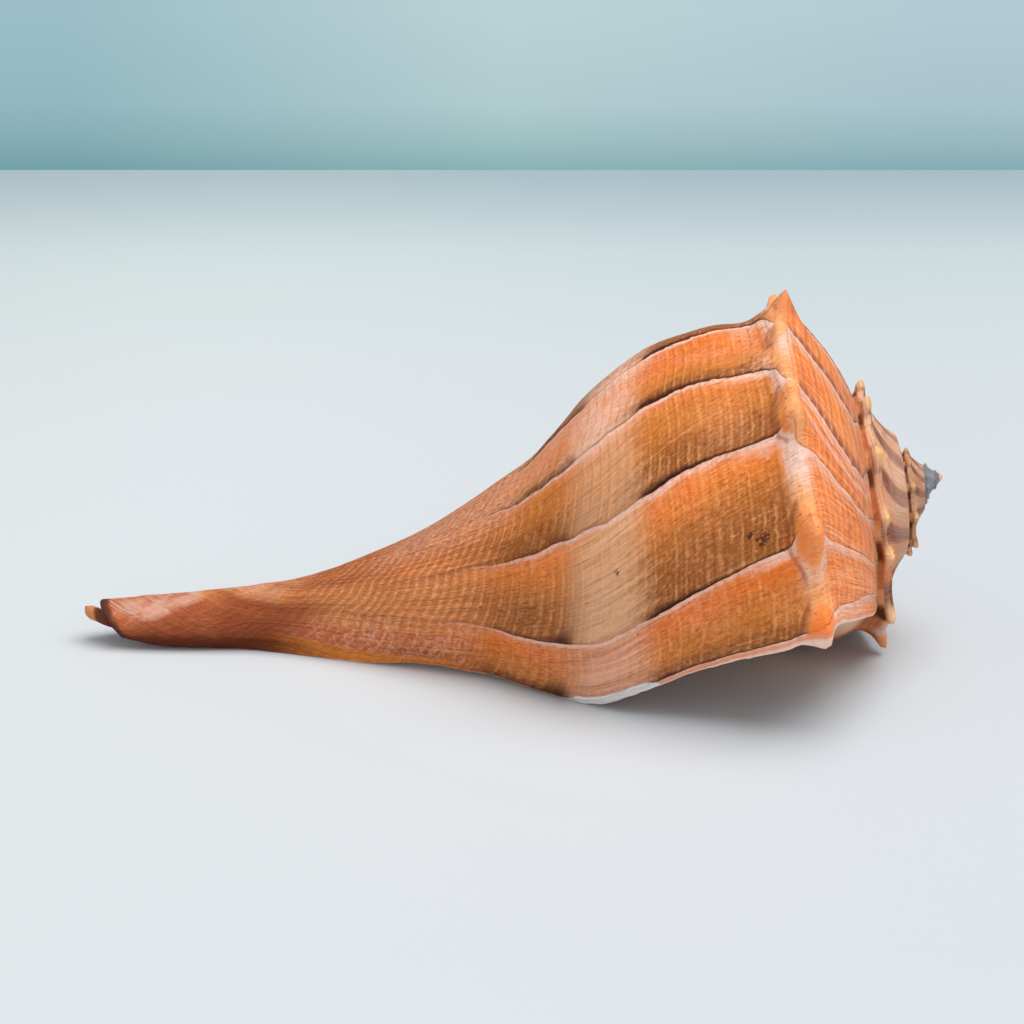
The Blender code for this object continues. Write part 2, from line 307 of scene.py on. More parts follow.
# ------------------------------------------------------------- fine surface
def lumps(points, size, seed):
    """Soft seeded noise at an array of points, lumps of the given size."""
    flat = points.reshape(-1, 3) / size + seed
    values = [noise.noise(Vector(p)) for p in flat]
    return np.array(values).reshape(points.shape[:-1])


def streaks(x, y, seed):
    """Soft seeded noise over a pair of growth values."""
    return lumps(np.stack([x, y, 0.0 * x], axis=-1), 1.0, seed)


def crowns(b, s):
    """Sharp crowns of the knobs and the grooves on their canal side, in mm."""
    total = np.zeros_like(b)
    for place, height, width, _ in KNOBS:
        narrow = bell(b, place, 0.55 * width)
        pinch = (bell(b, place, 1.25 * width) - narrow) * bell(s, KNOB_ROW, 1.7)
        total = total - 0.2 * height * pinch
        if height < 4.5:
            peak = 0.38 * height * bell(s, KNOB_ROW, 1.1)
            groove = 0.44 * height * bell(s, KNOB_ROW + 3.6, 1.3)
            total = total + narrow * (peak - groove) * (0.5 if place < 5.0 else 1.0)
    phase, away = early_knobs(b)
    old = (2.7 * hump(away, 0, 4.6) - 0.45) * bell(s, KNOB_ROW - 0.1, 1.4)
    rays = 0.7 * np.cos(phase * 2.0 * pi) * bell(s, 25.5, 2.6)
    return total + (old + rays) * smooth(b, 378, 388)


def relief(beta, b, s, place, knob):
    """Height of growth edges, folds and wear over the plain wall, in mm."""
    count = stops_passed(b, s, knob)
    t = count - np.floor(count)
    edge = 0.5 * np.exp(-t / 0.22) * smooth(t, 0, 0.05)
    hollow = -0.22 * np.exp(-(1 - t) / 0.12)
    strong = band(s, 27, 34, 86, 104)
    strong = strong * (1 - 0.45 * band(s, 57, 61, 69, 74))
    steps = (edge + hollow) * (0.3 + 0.7 * strong)
    folds = streaks(b * 0.3, s * 0.045, 3.1)
    broad = lumps(place, 7.0, 11.0)
    fine = lumps(place, 2.4, 29.0)
    calm = 1 - 0.6 * smooth(b, 348, 420)
    crest = 0.5 * bell(s, 29.5, 1) * (1 - smooth(b, 320, 345))
    height = steps + 0.18 * folds + 0.22 * broad + 0.07 * fine
    height = height * calm + crest + crowns(b, s)
    return height * np.exp(-GROWTH * np.maximum(beta, 0.0))


def hollow_depth(u):
    """How far the hollow runs in from the lip at u, as a growth angle."""
    full = radians(HOLLOW_DEPTH)
    return full + (radians(CANAL_DEPTH) - full) * smooth(u, 7, 14)


def floor_place(k, u):
    """Points of the earlier whorl that floors the hollow; k runs 0 to 1."""
    beta = radians(SUTURE_TURN) + hollow_depth(u) * k
    plain = wall(beta, u, False)
    near = np.exp(-k * 40.0)[..., None]
    return plain + (wall(beta, u) - plain) * near


def ceiling_place(k, u, seat_u):
    """Points of the hollow's outer side, closing onto its floor at k = 1."""
    beta = hollow_depth(u) * k
    narrow = 1 - 0.45 * smooth(u, 11, 14)
    edge = smooth(np.degrees(beta), 0, 26)
    thick = LIP_EDGE + (WALL * narrow - LIP_EDGE) * edge
    _, n = wall_ways(beta, u)
    skin = wall(beta, u, False) + n * thick[..., None]
    close = smooth(k, 0.8, 1)[..., None]
    return skin * (1 - close) + floor_place(k, np.maximum(u, seat_u)) * close


class Skin:
    """Corner points and faces of the shell, with their growth marks."""

    def __init__(self):
        self.points = []
        self.inside = []
        self.knob = []
        self.total = 0
        self.faces = []
        self.marks = []

    def corners(self, points, inside=0.0, knob=0.0):
        """Adds points and gives back their numbers in the same layout."""
        shape = points.shape[:-1]
        self.points.append(points.reshape(-1, 3))
        self.inside.append(np.broadcast_to(inside, shape).ravel())
        self.knob.append(np.broadcast_to(knob, shape).ravel())
        numbers = np.arange(self.total, self.total + int(np.prod(shape)))
        self.total += int(np.prod(shape))
        return numbers.reshape(shape)

    def sheet(self, ids, marks):
        """Faces over a grid of numbers; marks are b, s, stops and lip angle."""
        quads = [ids[:-1, :-1], ids[1:, :-1], ids[1:, 1:], ids[:-1, 1:]]
        spots = [marks[:-1, :-1], marks[1:, :-1], marks[1:, 1:], marks[:-1, 1:]]
        quads = np.stack(quads, axis=-1).reshape(-1, 4)
        spots = np.stack(spots, axis=-2).reshape(-1, 4, 4)
        for quad, spot in zip(quads.tolist(), spots.tolist()):
            loop = []
            here = []
            for c, mark in zip(quad, spot):
                if c not in loop:
                    loop.append(c)
                    here.append(mark)
            if len(loop) > 2:
                self.faces.append(loop)
                self.marks.append(here)

    def face(self, loop, mark):
        self.faces.append(loop)
        self.marks.append([mark] * len(loop))

    def collar(self, ring, inner, mark):
        """Faces between two rings, each of which ends where it starts."""
        for k in range(len(ring) - 1):
            self.face([ring[k], inner[k], inner[k + 1], ring[k + 1]], mark)

    def fan(self, ring, top, mark):
        """Triangles from each side of a ring up to one top corner."""
        for a, b in zip(ring, ring[1:]):
            self.face([top, a, b], mark)


def marks_of(b, s, knob, lip):
    """The four growth marks of each point."""
    return np.stack([b, s, stops_passed(b, s, knob), lip], axis=-1)


def shell_rows():
    """Places u of the rows: suture to shoulder, lip start, body, canal."""
    ramp = np.linspace(0.0, SEAT, SEAM + 1)
    start = np.array([5.6, 5.7, 5.8, 5.9])
    body = np.linspace(6.0, 12.0, 60)
    canal = np.linspace(12.12, 18.0, 42)
    return join([ramp, start, body, canal])


# Rows: SEAM is the last of the ramp and START the first of the hollow.  Steps of
# growth: TURN in one turn, BACK to where the lip meets the earlier whorl, LAST to
# the apex, and DEPTH into the hollow.
SEAM = 27
START = 31
TURN = 300
BACK = round(TURN * SUTURE_TURN / 360.0)
LAST = round(TURN * SPIRE_TURNS)
DEPTH = 64


def ragged_lip(u):
    """How far the worn lip stands back at u, in degrees."""
    rough = streaks(u * 2.3, 0.0 * u, 5.7)
    fine = streaks(u * 9.0, 0.0 * u, 8.2)
    worn = band(u, 8.5, 9.5, 11.5, 12.5)
    back = 0.3 + (0.5 + 0.8 * worn) * rough + (0.25 + 0.5 * worn) * fine
    return smooth(u, 5.9, 7) * back


def outer_sheets(skin, rows):
    """The outer wall of the last whorl, and the ramps of the spire."""
    u, j = np.meshgrid(rows, np.arange(BACK + 1.0), indexing="ij")
    beta = j * 2.0 * pi / TURN
    beta = beta + np.radians(ragged_lip(u)) * np.exp(-j / 3.0)
    u2, j2 = np.meshgrid(rows[:SEAM + 1], np.arange(BACK + 1.0, LAST + 1), indexing="ij")
    body, body_knob, body_marks = outer_sheet(beta, u)
    spire, spire_knob, spire_marks = outer_sheet(j2 * 2.0 * pi / TURN, u2)
    glaze = smooth(np.degrees(beta), 296, 328) * smooth(u, 5.6, 6.6)
    body_ids = skin.corners(body[1:], glaze[1:], body_knob[1:])
    spire_ids = skin.corners(spire[1:], 0.0, spire_knob[1:])
    top = join([body[:1], spire[:1]], axis=1)[:, LAST - BACK + 1:]
    top_ids = skin.corners(top)[0]
    ring = join([body_ids[:SEAM], spire_ids], axis=1)
    first = join([ring[SEAM - 1, BACK:], top_ids])
    upper = join([first[None, :], ring], axis=0)
    skin.sheet(upper, join([body_marks[:SEAM + 1], spire_marks], axis=1))
    skin.sheet(body_ids[SEAM - 1:], body_marks[SEAM:])
    outer_ids = join([upper[:1, :BACK + 1], body_ids], axis=0)
    return outer_ids, body_marks, upper


def outer_sheet(beta, u):
    """Points of the finished outer wall, their knob values and their marks.

    A knob value falls below zero at the canal's end: to -1 at its rim, and on
    from there over its nub, to -8 at the nub's top.
    """
    b, s = growth_place(beta, u)
    knob = knob_height(beta, u)
    plain = wall(beta, u)
    _, n = wall_ways(beta, u)
    height = relief(beta, b, s, plain, knob)
    points = plain - n * height[..., None]
    knob = knob - smooth(u, 17.45, 17.85)
    return points, knob, marks_of(b, s, knob, np.degrees(beta))


def inner_sheets(skin, rows, outer_ids, marks):
    """Floor and outer side of the hollow, and the rounded lip between."""
    u, k = np.meshgrid(rows, np.linspace(0.0, 1.0, DEPTH + 1) ** 1.25, indexing="ij")
    floor_ids = skin.corners(floor_place(k[START:, 1:], u[START:, 1:]), 1.0)
    floor_ids = join([outer_ids[START:, BACK:], floor_ids], axis=1)
    b, s = growth_place(radians(SUTURE_TURN) + 0.0 * k, u)
    inner_marks = marks_of(b, s, 0.0 * b, FAR + 0.0 * b)
    skin.sheet(floor_ids, inner_marks[START:])
    ceiling = ceiling_place(k, u, rows[START])
    ceiling_ids = skin.corners(ceiling[1:, :-1], 1.0)
    ceiling_ids = join([floor_ids[:1, :-1], ceiling_ids], axis=0)
    last = join([floor_ids[:1, -1]] * (START + 1) + [floor_ids[1:, -1]])
    ceiling_ids = join([ceiling_ids, last[:, None]], axis=1)
    skin.sheet(ceiling_ids[:, ::-1], inner_marks[:, ::-1])
    rim_ids, rim_marks = rim_sheet(skin, rows, outer_ids, ceiling_ids, ceiling, marks)
    skin.sheet(rim_ids, rim_marks)
    return floor_ids, ceiling_ids, rim_ids


def rim_sheet(skin, rows, outer_ids, ceiling_ids, ceiling, marks):
    """The lip's rounded edge, from its outer to its inner side."""
    flat = join(skin.points)
    out = flat[outer_ids[1:, 0]]
    inn = ceiling[1:, 0]
    forward, _ = wall_ways(np.zeros(len(rows) - 1), rows[1:])
    half = 0.5 * np.linalg.norm(out - inn, axis=-1, keepdims=True)
    columns = [outer_ids[1:, 0]]
    for m in (1, 2, 3):
        turn = pi * m / 4.0
        middle = 0.5 * (out + inn) + 0.5 * (out - inn) * cos(turn)
        bulge = middle + forward * half * sin(turn)
        columns.append(skin.corners(bulge, m / 4.0))
    columns.append(ceiling_ids[1:, 0])
    rim = np.stack(columns, axis=1)
    first = outer_ids[SEAM:START + 1, BACK][None, :]
    rim_ids = join([first, rim], axis=0)
    rim_marks = np.repeat(marks[:, :1], 5, axis=1)
    rim_marks[..., 3] = -np.arange(5.0)
    return rim_ids[:, ::-1], rim_marks[:, ::-1]


def zip_lines(skin, first, second, mark):
    """Triangles between two lines of corners of unlike number."""
    i = 0
    j = 0
    while i < len(first) - 1 or j < len(second) - 1:
        ahead = (i + 1) / len(first) < (j + 1) / len(second)
        if j == len(second) - 1 or (ahead and i < len(first) - 1):
            loop = [first[i], first[i + 1], second[j]]
            i += 1
        else:
            loop = [first[i], second[j + 1], second[j]]
            j += 1
        if len(set(loop)) == 3:
            skin.face(loop, mark)


def close_tip(skin, outer_ids, floor_ids, ceiling_ids, rim_ids):
    """The cut end of the canal's wall, and the worn nub of its pillar."""
    cut = int(TURN * HOLLOW_DEPTH / 360.0)
    wall_line = list(outer_ids[-1, :cut + 1])
    inner_line = list(rim_ids[-1, ::-1][:-1]) + list(ceiling_ids[-1])
    zip_lines(skin, wall_line, inner_line, TIP_MARK)
    ring = list(outer_ids[-1, cut:]) + list(floor_ids[-1, 1:])
    points = join(skin.points)
    pillar = stand(points[ring])
    start = pillar.mean(axis=0)
    out = pillar - start
    turn = np.arctan2(out[:, 2], out[:, 1])
    for n, (share, radius, reach, rise) in enumerate(NUB_STEPS):
        circle = np.stack([0.0 * turn, np.cos(turn), np.sin(turn)], axis=1) * radius
        place = start + share * out + (1 - share) * circle
        place = unstand(place + [-reach, 0.0, rise])
        new = list(skin.corners(place, 0.0, -1.0 - n))
        skin.collar(ring + ring[:1], new + new[:1], TIP_MARK)
        ring = new
    top = int(skin.corners(place.mean(axis=0)[None, :], 0.0, -8.0)[0])
    skin.fan(ring + ring[:1], top, TIP_MARK)


def close_apex(skin, upper, points):
    """A small dome over the first, smallest turn."""
    first = LAST - BACK
    ring = list(upper[0, first:]) + list(upper[1:SEAM, LAST])
    ring.append(ring[0])
    middle = points[ring].mean(axis=0)
    dome = 0.5 * (points[ring[:-1]] - middle) + middle
    dome[:, 0] += DOME_STEP
    ids = list(skin.corners(dome))
    ids.append(ids[0])
    top = int(skin.corners((middle + [DOME_TOP, 0.0, 0.0])[None, :])[0])
    mark = [LAST * 360.0 / TURN, 16.0, 45.5, LAST * 360.0 / TURN]
    skin.collar(ids, ring, mark)
    skin.fan(ids, top, mark)


def tilt(points, angle):
    """Turn points sideways about the y axis, by an angle in degrees."""
    c, d = cos(radians(angle)), sin(radians(angle))
    x, y, z = points.T
    return np.stack([x * c - z * d, y, x * d + z * c], axis=1)


def stand(points):
    """Lay the shell down as it rests, lip and canal on the ground."""
    laid = tilt(points, AXIS_TILT)
    laid[:, 2] = np.maximum(laid[:, 2] + APEX_HEIGHT, 0.0)
    return laid


def unstand(points):
    """Back from the resting place to the frame of the shell axis."""
    return tilt(points - [0.0, 0.0, APEX_HEIGHT], -AXIS_TILT)


def fit_box(points):
    """Set the shell exactly inside the solid's box, in metres."""
    low = points.min(axis=0)
    high = points.max(axis=0)
    wanted_low = np.array(CAD_BOX[0]) + BOX_GAP / 1000.0
    wanted_high = np.array(CAD_BOX[1]) - BOX_GAP / 1000.0
    wanted_low[2] = CAD_BOX[0][2]
    share = (points - low) / (high - low)
    return wanted_low + share * (wanted_high - wanted_low)


def shell_object():
    """The whole shell as one closed mesh with its growth marks."""
    skin = Skin()
    rows = shell_rows()
    outer_ids, marks, upper = outer_sheets(skin, rows)
    hollow_ids = inner_sheets(skin, rows, outer_ids, marks)
    close_tip(skin, outer_ids, *hollow_ids)
    close_apex(skin, upper, join(skin.points))
    points = fit_box(stand(join(skin.points)))
    mesh = bpy.data.meshes.new("shell_skin")
    mesh.from_pydata(points.tolist(), [], skin.faces)
    add_marks(mesh, skin)
    turn_out(mesh)
    obj = bpy.data.objects.new("shell_skin", mesh)
    bpy.context.scene.collection.objects.link(obj)
    return obj


def add_marks(mesh, skin):
    """Store growth angle, place, stops and lip angle on the mesh."""
    flat = np.array([m for face in skin.marks for m in face])
    growth = mesh.uv_layers.new(name="growth")
    growth.data.foreach_set("uv", (flat[:, :2] / GROWTH_SCALE).ravel())
    stops = mesh.uv_layers.new(name="stops")
    stops.data.foreach_set("uv", (flat[:, 2:] / STOPS_SCALE).ravel())
    for name, values in (("inside", skin.inside), ("knob", skin.knob)):
        layer = mesh.attributes.new(name, "FLOAT", "POINT")
        layer.data.foreach_set("value", join(values))


def turn_out(mesh):
    """Split all faces into triangles that point outwards."""
    bm = bmesh.new()
    bm.from_mesh(mesh)
    bmesh.ops.triangulate(bm, faces=bm.faces[:])
    bmesh.ops.recalc_face_normals(bm, faces=bm.faces[:])
    for face in bm.faces:
        face.smooth = True
    bm.to_mesh(mesh)
    bm.free()


# ------------------------------------------------------------ shader helper
def arithmetic(operation, reflected=False):
    """A method that joins a Value and another number or Value by a Math node."""
    def method(self, other):
        pair = (other, self) if reflected else (self, other)
        return self.math(operation, *pair)
    return method


class Value:
    """A socket that can be used in plain arithmetic."""

    __add__ = arithmetic("ADD")
    __radd__ = arithmetic("ADD", True)
    __sub__ = arithmetic("SUBTRACT")
    __rsub__ = arithmetic("SUBTRACT", True)
    __mul__ = arithmetic("MULTIPLY")
    __rmul__ = arithmetic("MULTIPLY", True)
    __truediv__ = arithmetic("DIVIDE")
    __pow__ = arithmetic("POWER")
    most = arithmetic("MAXIMUM")

    def __init__(self, nodes, socket):
        self.nodes = nodes
        self.socket = socket

    def math(self, operation, *values):
        return self.nodes.value("Math", {"operation": operation}, 0, *values)

    def fraction(self):
        return self.math("FRACT", self)

    def cosine(self):
        return self.math("COSINE", self)

    def size(self):
        return self.math("ABSOLUTE", self)

    def rise(self, low, high):
        """Ease from 0 at low to 1 at high."""
        settings = {"interpolation_type": "SMOOTHSTEP"}
        return self.nodes.value("MapRange", settings, 0, self, low, high, 0.0, 1.0)

    def fall(self, low, high):
        """Ease from 1 at low to 0 at high."""
        return 1.0 - self.rise(low, high)

    def band(self, low, start, end, high):
        """1 from start to end, easing to 0 at low and at high."""
        return self.rise(low, start) * self.fall(end, high)


class Nodes:
    """The node tree of one material, built by make()."""

    def __init__(self, name):
        self.material = bpy.data.materials.new(name)
        self.material.use_nodes = True
        self.tree = self.material.node_tree
        self.finish = self.tree.nodes["Principled BSDF"]

    def make(self, kind, settings=None, *values, **named):
        node = self.tree.nodes.new("ShaderNode" + kind)
        for key, setting in (settings or {}).items():
            if key == "stops":
                self.set_stops(node.color_ramp, setting)
            elif key == "interpolation":
                node.color_ramp.interpolation = setting
            else:
                setattr(node, key, setting)
        for n, value in enumerate(values):
            self.put(node.inputs[n], value)
        for key, value in named.items():
            self.put(node.inputs[key], value)
        return node

    def put(self, socket, value):
        if isinstance(value, Value):
            self.tree.links.new(value.socket, socket)
        else:
            socket.default_value = value

    def set_stops(self, ramp, stops):
        while len(ramp.elements) < len(stops):
            ramp.elements.new(0.5)
        for element, (place, colour) in zip(ramp.elements, stops):
            element.position = place
            element.color = paint(colour)

    def feed(self, name, value):
        """Give one socket of the finish its value or link."""
        self.put(self.finish.inputs[name], value)

    def split(self, vector):
        """The x, y and z of a vector, as three values."""
        parts = self.make("SeparateXYZ", {}, vector)
        return [Value(self, part) for part in parts.outputs]

    def place(self):
        return self.value("TexCoord", {}, "Object")

    def value(self, kind, settings, output, *values, **named):
        node = self.make(kind, settings, *values, **named)
        return Value(self, node.outputs[output])

    def ramp(self, factor, stops, interpolation="LINEAR"):
        settings = {"interpolation": interpolation, "stops": stops}
        return self.value("ValToRGB", settings, "Color", factor)

    def mix(self, factor, a, b, blend="MIX"):
        node = self.make("Mix", {"data_type": "RGBA", "blend_type": blend,
                                 "clamp_factor": True})
        self.put(node.inputs[0], factor)
        self.put(node.inputs[6], a if isinstance(a, Value) else paint(a))
        self.put(node.inputs[7], b if isinstance(b, Value) else paint(b))
        return Value(self, node.outputs[2])

    def noise(self, where, scale, detail=2.0, rough=0.5):
        return self.value("TexNoise", {}, "Fac", Vector=where, Scale=scale, Detail=detail,
                          Roughness=rough)

    def vector(self, x, y, z):
        return self.value("CombineXYZ", {}, 0, x, y, z)


def paint(colour):
    """Red, green and blue with full cover, as a socket takes them."""
    return tuple(colour) + (1.0,)


# ------------------------------------------------------------ shell colours
DARK_EDGE = (0.045, 0.007, 0.003)
SMEAR = (0.06, 0.012, 0.006)
OLIVE = (0.33, 0.098, 0.018)
GOLD = (0.64, 0.19, 0.03)
ORANGE = (0.95, 0.235, 0.035)
RUST = (0.62, 0.1, 0.012)
ROSE = (0.9, 0.37, 0.2)
PALE = (0.92, 0.6, 0.5)
BLUSH = (1.0, 0.59, 0.44)
CREAM = (0.74, 0.365, 0.18)
CHALK = (0.94, 0.9, 0.88)
CANAL = (0.93, 0.245, 0.062)
CANAL_DARK = (0.37, 0.075, 0.022)
VIOLET = (0.34, 0.09, 0.055)

# For each panel between growth stops, youngest first: how far olive, gold and
# rose reach across it, as halves of its width.
PANELS = [(0.02, 0.06, 0.4), (0.15, 0.34, 0.15), (0.38, 0.44, 0.05), (0.27, 0.52, 0.1),
          (0.07, 0.18, 0.8), (0.7, 0.85, 0.2), (0.2, 0.4, 0.3), (0.36, 0.5, 0.1),
          (0.1, 0.3, 0.6), (0.42, 0.55, 0.2), (0.2, 0.35, 0.4), (0.34, 0.5, 0.1),
          (0.14, 0.4, 0.3), (0.3, 0.45, 0.2), (0.16, 0.4, 0.4), (0.3, 0.45, 0.3)]

# Chips in the surface: growth angle b, distance s, and size.
CHIPS = [(24.5, 36.8, 1.5), (37.5, 62.9, 0.7), (26.5, 38.6, 0.9)]


class ShellLook(Nodes):
    """Colour, gloss and fine ribs of the shell, laid along its growth.

    b is the growth angle of a point, s its distance from the apex, and t how far
    it lies from one growth stop to the next.  s_worn is s with uneven bounds.
    """

    def __init__(self):
        super().__init__("shell_glaze")
        b, s, _ = self.split(self.value("UVMap", {"uv_map": "growth"}, 0))
        count, lip, _ = self.split(self.value("UVMap", {"uv_map": "stops"}, 0))
        self.b = b * GROWTH_SCALE
        self.s = s * GROWTH_SCALE
        self.count = count * STOPS_SCALE
        self.lip = lip * STOPS_SCALE
        self.inside = self.value("Attribute", {"attribute_name": "inside"}, "Fac")
        self.knob = self.value("Attribute", {"attribute_name": "knob"}, "Fac")
        self.measure()
        self.panel_colour()
        self.ramp_colour()
        self.canal_colour()
        self.line_colour()
        self.spire_colour()
        self.edge_colour()
        self.knob_colour()
        self.lip_colour()
        self.tip_colour()
        self.chips()
        self.hollow_colour()
        self.feed("Base Color", self.colour)
        self.gloss()
        self.ribs()

    def lay(self, amount, tone, blend="MIX"):
        """Cover the shell's colour so far with a tone, by an amount."""
        self.colour = self.mix(amount, self.colour, tone, blend)

    def measure(self):
        """Growth panels, ribs and noise that the colours share."""
        place = self.place()
        self.cloud = self.noise(place, 60.0, 3.0)
        self.broad = self.noise(place, 24.0, 2.0)
        self.grit = self.noise(place, 300.0, 3.0, 0.6)
        self.speck = self.noise(place, 1300.0, 2.0)
        wave = (self.cloud - 0.5) * 0.1 + (self.grit - 0.5) * 0.06
        self.stage = self.count + wave
        self.t = self.stage.fraction()
        drift = (self.broad - 0.5) * 2.0 + (self.cloud - 0.5) * 3.0 + (self.grit - 0.5) * 0.8
        self.s_worn = self.s + drift
        line_place = self.vector(self.b * 0.6, self.s * 0.035, 0.0)
        self.lines = self.noise(line_place, 1.0, 5.0, 0.68)
        fleck_place = self.vector(self.b * 1.3, self.s * 0.85, 7.0)
        self.fleck = self.noise(fleck_place, 1.0, 4.0, 0.7)
        fine_place = self.vector(self.b * 2.4, self.s * 0.11, 3.0)
        self.fine_lines = self.noise(fine_place, 1.0, 3.0, 0.6)
        bow = self.t.math("SINE", self.t * pi) * 0.9
        sway = (self.grit - 0.5) * 1.1 + (self.lines - 0.5) * 1.0 + bow
        self.cords = ((self.s + sway) * (2.0 * pi / 1.95)).cosine()
        self.threads = ((self.s + sway * 0.6) * (2.0 * pi / 0.92)).cosine()
        self.on_ramp = self.s.fall(27, 30)
        self.on_body = 1 - self.on_ramp
        self.on_canal = self.s_worn.rise(80, 98)
        self.roped = self.s_worn.band(80, 95, 120, 130) * self.b.rise(22, 28)
        ragged = (self.lines - 0.5) * 9.0 + (self.fleck - 0.5) * 5.0
        self.cream_band = (self.s_worn + ragged).band(54.5, 62, 67.5, 75.5)
        self.bulge = self.knob + (self.grit - 0.5) * 0.5
        self.peak = self.bulge.rise(1.45, 2) * self.b.fall(290, 305)

    def panel_colour(self):
        """Panels between growth stops: orange, gold, and olive at the edge."""
        stops = [(n / len(PANELS), reach) for n, reach in enumerate(PANELS)]
        panel = (self.stage + 1.0) / len(PANELS)
        reach = self.make("SeparateColor", {}, self.ramp(panel, stops, "CONSTANT"))
        olive, gold, rosy = [Value(self, part) for part in reach.outputs]
        olive = olive * 2.0
        gold = gold * 2.0
        t = self.t + (self.cloud - 0.5) * 0.3 + (self.lines - 0.5) * 0.35
        self.colour = self.mix(self.broad.rise(0.35, 0.7) * 0.45, ORANGE, RUST)
        self.lay((t / gold).fall(0.55, 1.15), GOLD)
        self.lay((t / olive).fall(0.3, 1.1), OLIVE)
        mottle = rosy * self.cloud.rise(0.4, 0.62)
        mottle = mottle * (0.3 + self.fleck.rise(0.42, 0.58) * 0.7)
        self.lay(mottle * 0.88, BLUSH)
        self.lay(self.t.rise(0.8, 0.97) * 0.35, ROSE)
        tone = self.mix(self.lines.rise(0.35, 0.65), CREAM, (0.86, 0.5, 0.31))
        tone = self.mix(self.b.rise(70, 82), tone, BLUSH)
        young = self.mix(self.lines.rise(0.4, 0.6), (0.7, 0.32, 0.2), (0.93, 0.5, 0.35))
        tone = self.mix(self.b.fall(17, 24), tone, young)
        cream = self.cream_band * (0.86 - self.b.band(48, 56, 72, 80) * 0.3)
        patchy = self.b.rise(74, 82) * (self.cloud + self.fleck).fall(0.85, 1.1)
        self.lay(cream * (1 - patchy * 0.65), tone)

    def ramp_colour(self):
        """The ramp above the shoulder: bright orange with pale wavy bands."""
        ramp = self.mix(self.cloud.rise(0.3, 0.7), (0.98, 0.27, 0.055), (0.8, 0.165, 0.03))
        ramp = self.mix(self.lines.rise(0.5, 0.66) * 0.6, ramp, (0.98, 0.44, 0.24))
        ramp = self.mix(self.fine_lines.rise(0.5, 0.66) * 0.55, ramp, (0.98, 0.53, 0.36))
        ramp = self.mix(self.t.rise(0.72, 0.96) * 0.5, ramp, PALE)
        extra = self.stage.band(2.44, 2.53, 2.56, 2.66)
        extra = extra + self.stage.band(2.74, 2.8, 2.82, 2.88)
        ramp = self.mix(extra * 0.6, ramp, PALE)
        violet = self.t.fall(0.04, 0.24) * self.b.rise(40, 48)
        ramp = self.mix(violet * 0.85, ramp, VIOLET)
        seam = self.s.fall(17.4, 20.5)
        ramp = self.mix(seam * 0.45, ramp, (0.74, 0.38, 0.26))
        self.lay(self.on_ramp, ramp)
        crest = self.s_worn.band(26.6, 28.6, 30.6, 32.8)
        tone = self.mix(self.t.rise(0.3, 0.8), (0.98, 0.4, 0.16), (0.96, 0.68, 0.58))
        self.lay(crest * 0.9, tone)

    def canal_colour(self):
        """The canal: orange brown, streaked along its growth lines, with painted shade on its
        lower side and a partly painted highlight along its top.
        """
        shade = self.mix(self.lines.rise(0.36, 0.62), CANAL_DARK, CANAL)
        shade = self.mix(self.fine_lines.rise(0.48, 0.66) * 0.5, shade, (0.98, 0.46, 0.21))
        shade = self.mix(self.broad.fall(0.3, 0.52) * 0.4, shade, CANAL_DARK)
        middle = self.b.band(19, 26, 50, 66)
        shade = self.mix(middle * 0.5, shade, (0.72, 0.27, 0.09))
        # Painted shade: darker along the canal's lower side.
        shade = self.mix(self.b.fall(19, 26) * 0.55, shade, (0.5, 0.115, 0.058))
        self.lay(self.on_canal * 0.92, shade)
        rosy = self.b.band(2, 9, 24, 36) * self.s.band(84, 92, 112, 124)
        frost = self.speck.rise(0.44, 0.6) * (0.35 + self.grit.rise(0.38, 0.62) * 0.65)
        self.lay(rosy * frost * 0.62, (0.9, 0.42, 0.28))
        # Partly painted highlight: pale blush along the canal's top, partly its own pale
        # colour.
        rosy = self.b.rise(66, 84) * self.s.band(80, 90, 112, 122)
        self.lay(rosy * self.fleck.rise(0.4, 0.62) * 0.6, BLUSH)
        strip = self.b.fall(5, 9) * self.s.band(84, 95, 122, 130)
        self.lay(strip * 0.8, (0.98, 0.3, 0.035))
        spots = self.speck.rise(0.685, 0.71) * self.grit.rise(0.46, 0.54)
        self.lay(self.on_canal * spots * 0.8, (0.92, 0.72, 0.62))

    def line_colour(self):
        """Growth lines across the cords, the pale cords themselves, and painted shade in the
        grooves between the roped cords.
        """
        dark = self.lines.fall(0.28, 0.43) * 0.5 * (1 - self.roped * 0.2)
        self.lay(dark, (0.3, 0.085, 0.028))
        dark = self.fine_lines.fall(0.34, 0.46) * 0.34 * (1 - self.on_canal * 0.6)
        self.lay(dark, (0.3, 0.08, 0.024))
        light = self.lines.rise(0.58, 0.72) * 0.35 * self.on_body
        self.lay(light, (0.98, 0.46, 0.2))
        light = self.cords.rise(0.3, 1) * self.grit.rise(0.38, 0.62) * self.on_body
        light = light * (1 - self.on_canal * 0.45)
        self.lay(light * 0.34, (1.0, 0.45, 0.15))
        light = self.cords.rise(0, 0.9) * self.roped * self.fleck.rise(0.4, 0.58)
        light = light * self.lines.rise(0.34, 0.56)
        self.lay(light * 0.5, (0.98, 0.54, 0.27))
        # Painted shade in the grooves between the roped cords.
        dark = self.cords.fall(-0.95, -0.25) * self.roped * self.lines.rise(0.36, 0.6)
        self.lay(dark * 0.22, (0.42, 0.11, 0.036))
        light = self.threads.rise(0.2, 1) * self.grit.rise(0.25, 0.6)
        self.lay(light * (0.12 + 0.28 * self.on_ramp), (1.0, 0.5, 0.22))
        plain = 1 - self.cream_band * 0.65
        fleck = self.fleck.fall(0.33, 0.5) * plain
        self.lay(fleck * 0.58, (0.62, 0.38, 0.22), "MULTIPLY")
        fleck = self.fleck.rise(0.54, 0.68) * plain
        self.lay(fleck * 0.42, (1.0, 0.44, 0.17))

